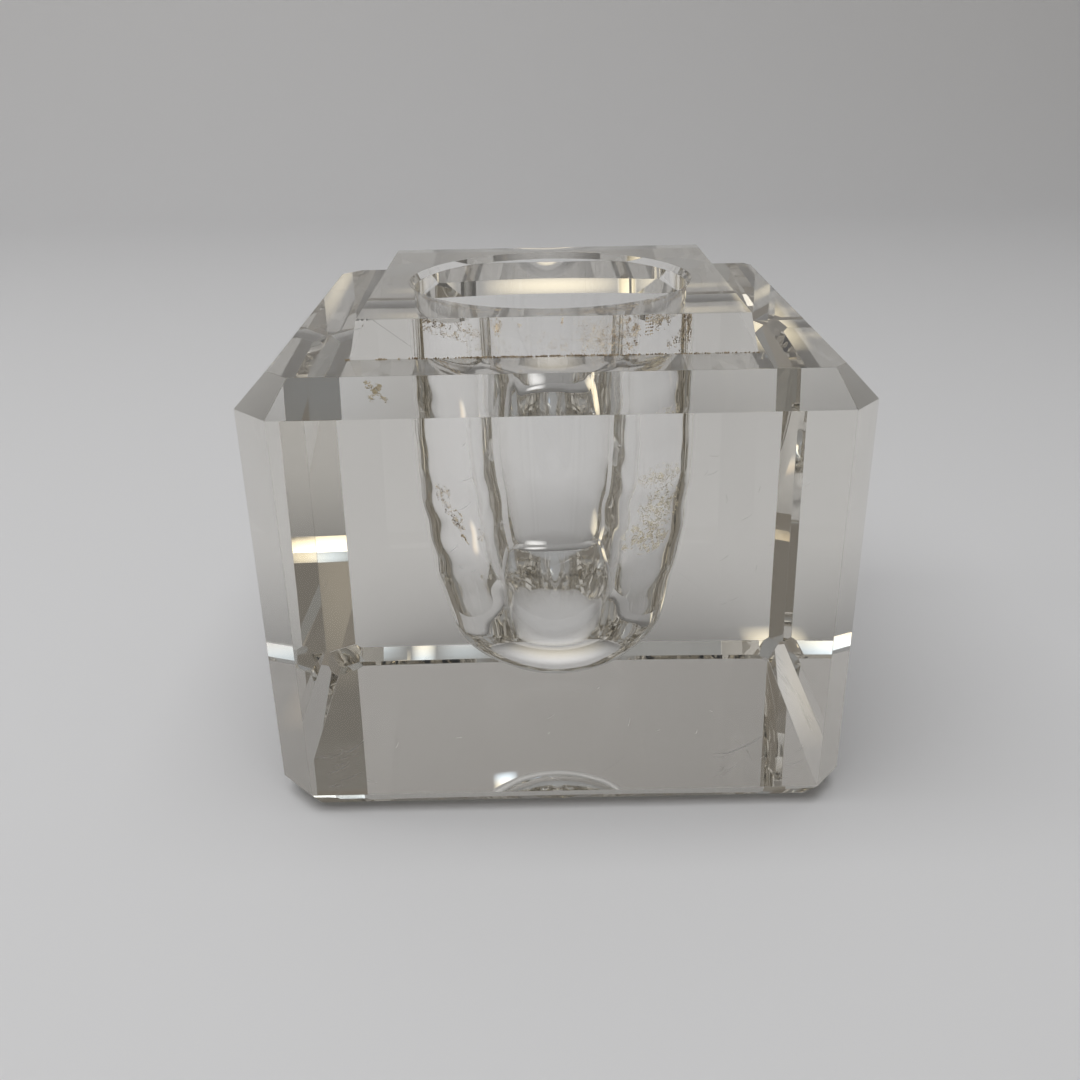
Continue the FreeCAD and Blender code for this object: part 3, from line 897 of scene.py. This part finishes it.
def add_area_light(name, place, facing, size, radiance):
    """A rectangular light that faces along a direction, as bright as radiance wherever it is seen."""
    data = bpy.data.lights.new(name, "AREA")
    data.shape = "RECTANGLE"
    data.size, data.size_y = size
    data.energy = radiance * math.pi * size[0] * size[1]
    light = bpy.data.objects.new(name, data)
    light.location = Vector(place)
    light.rotation_euler = Vector(facing).to_track_quat("-Z", "Y").to_euler()
    if facing == DOWN:
        # Straight down leaves the turn about Z open, and the room's lamps are laid out for this one
        light.rotation_euler = (0.0, 0.0, math.pi)
    light.visible_camera = False
    bpy.context.scene.collection.objects.link(light)
    return light


def soften(light, low, high):
    """Fade a light towards its edges and colour it from low to high up its height."""
    light.data.use_nodes = True
    nodes, links = light.data.node_tree.nodes, light.data.node_tree.links
    split = nodes.new("ShaderNodeSeparateXYZ")
    links.new(nodes.new("ShaderNodeNewGeometry").outputs["Parametric"], split.inputs[0])
    # Across each axis, 4 x (1 - x) is 1 in the middle and 0 at both edges
    fades = []
    for axis in ("X", "Y"):
        rest = math_node(nodes, links, "SUBTRACT", 1.0, split.outputs[axis])
        bulge = math_node(nodes, links, "MULTIPLY", split.outputs[axis], rest)
        fades.append(math_node(nodes, links, "MULTIPLY", bulge, 4.0))
    fade = math_node(nodes, links, "MULTIPLY", fades[0], fades[1])
    colour = ramp_node(nodes, links, split.outputs["Y"], ((0.25, low), (0.75, high)))
    emission = nodes["Emission"]
    links.new(colour, emission.inputs["Color"])
    links.new(fade, emission.inputs["Strength"])


def add_fill_light(name, place, facing, size, radiance):
    """A light that falls on matt surfaces and isn't seen in gloss or through glass."""
    light = add_area_light(name, place, facing, size, radiance)
    light.visible_glossy = False
    light.visible_transmission = False
    return light


def add_glint(name, place, facing, size, radiance, low, high):
    """A soft bright patch that is seen in the glass and lights no matt surface."""
    glint = add_area_light(name, place, facing, size, radiance)
    glint.visible_diffuse = False
    soften(glint, low, high)


def make_lights():
    """A wide soft key overhead, the room's lamps as the glass shows them, and the light it throws."""
    add_fill_light("soft_key", *SOFT_KEY)
    for lamp in ROOM_GLINTS:
        add_glint(*lamp)
    for index, (x, y, width, depth, radiance, near, far) in enumerate(CAUSTICS):
        place = (x * MM, y * MM, -AIR_GAP / 2)
        add_glint(f"caustic_{index}", place, UP, (width * MM, depth * MM), radiance, near, far)
    add_fill_light("backdrop_wash", *BACKDROP_WASH)
    add_fill_light("pool", *POOL)


def make_residue_light(sweep, residues):
    """A light that falls on the residues alone, because lamps don't reach them through the glass."""
    light = add_fill_light("through_glass", *THROUGH_GLASS)
    for role, pieces in (("receiver_collection", residues), ("blocker_collection", [sweep])):
        linked = bpy.data.collections.new(role)
        for piece in pieces:
            linked.objects.link(piece)
        setattr(light.light_linking, role, linked)


def make_camera():
    """The camera, turned by yaw, pitch and roll from looking along +Y."""
    yaw, pitch, roll = CAMERA_YAW, CAMERA_PITCH, CAMERA_ROLL
    flat = math.cos(pitch)
    forward = Vector((math.sin(yaw) * flat, math.cos(yaw) * flat, -math.sin(pitch)))
    level = Vector((math.cos(yaw), -math.sin(yaw), 0.0))
    upright = level.cross(forward)
    right = math.cos(roll) * level + math.sin(roll) * upright
    up = math.cos(roll) * upright - math.sin(roll) * level
    data = bpy.data.cameras.new("camera")
    data.lens = CAMERA_LENS
    data.sensor_width = CAMERA_SENSOR
    data.clip_start = CAMERA_NEAREST
    camera = bpy.data.objects.new("camera", data)
    turn = Matrix((right, up, -forward)).transposed().to_4x4()
    camera.matrix_world = Matrix.Translation(CAMERA_PLACE) @ turn
    bpy.context.scene.collection.objects.link(camera)
    bpy.context.scene.camera = camera


make_camera()
make_world()
sweep = make_sweep()
make_lights()
make_glass()
make_residue_light(sweep, make_wall_ink())
make_cement()
make_scratches()

scene = bpy.context.scene
scene.view_settings.view_transform = "Standard"
scene.cycles.max_bounces = 24
scene.cycles.glossy_bounces = 16
scene.cycles.transmission_bounces = 24
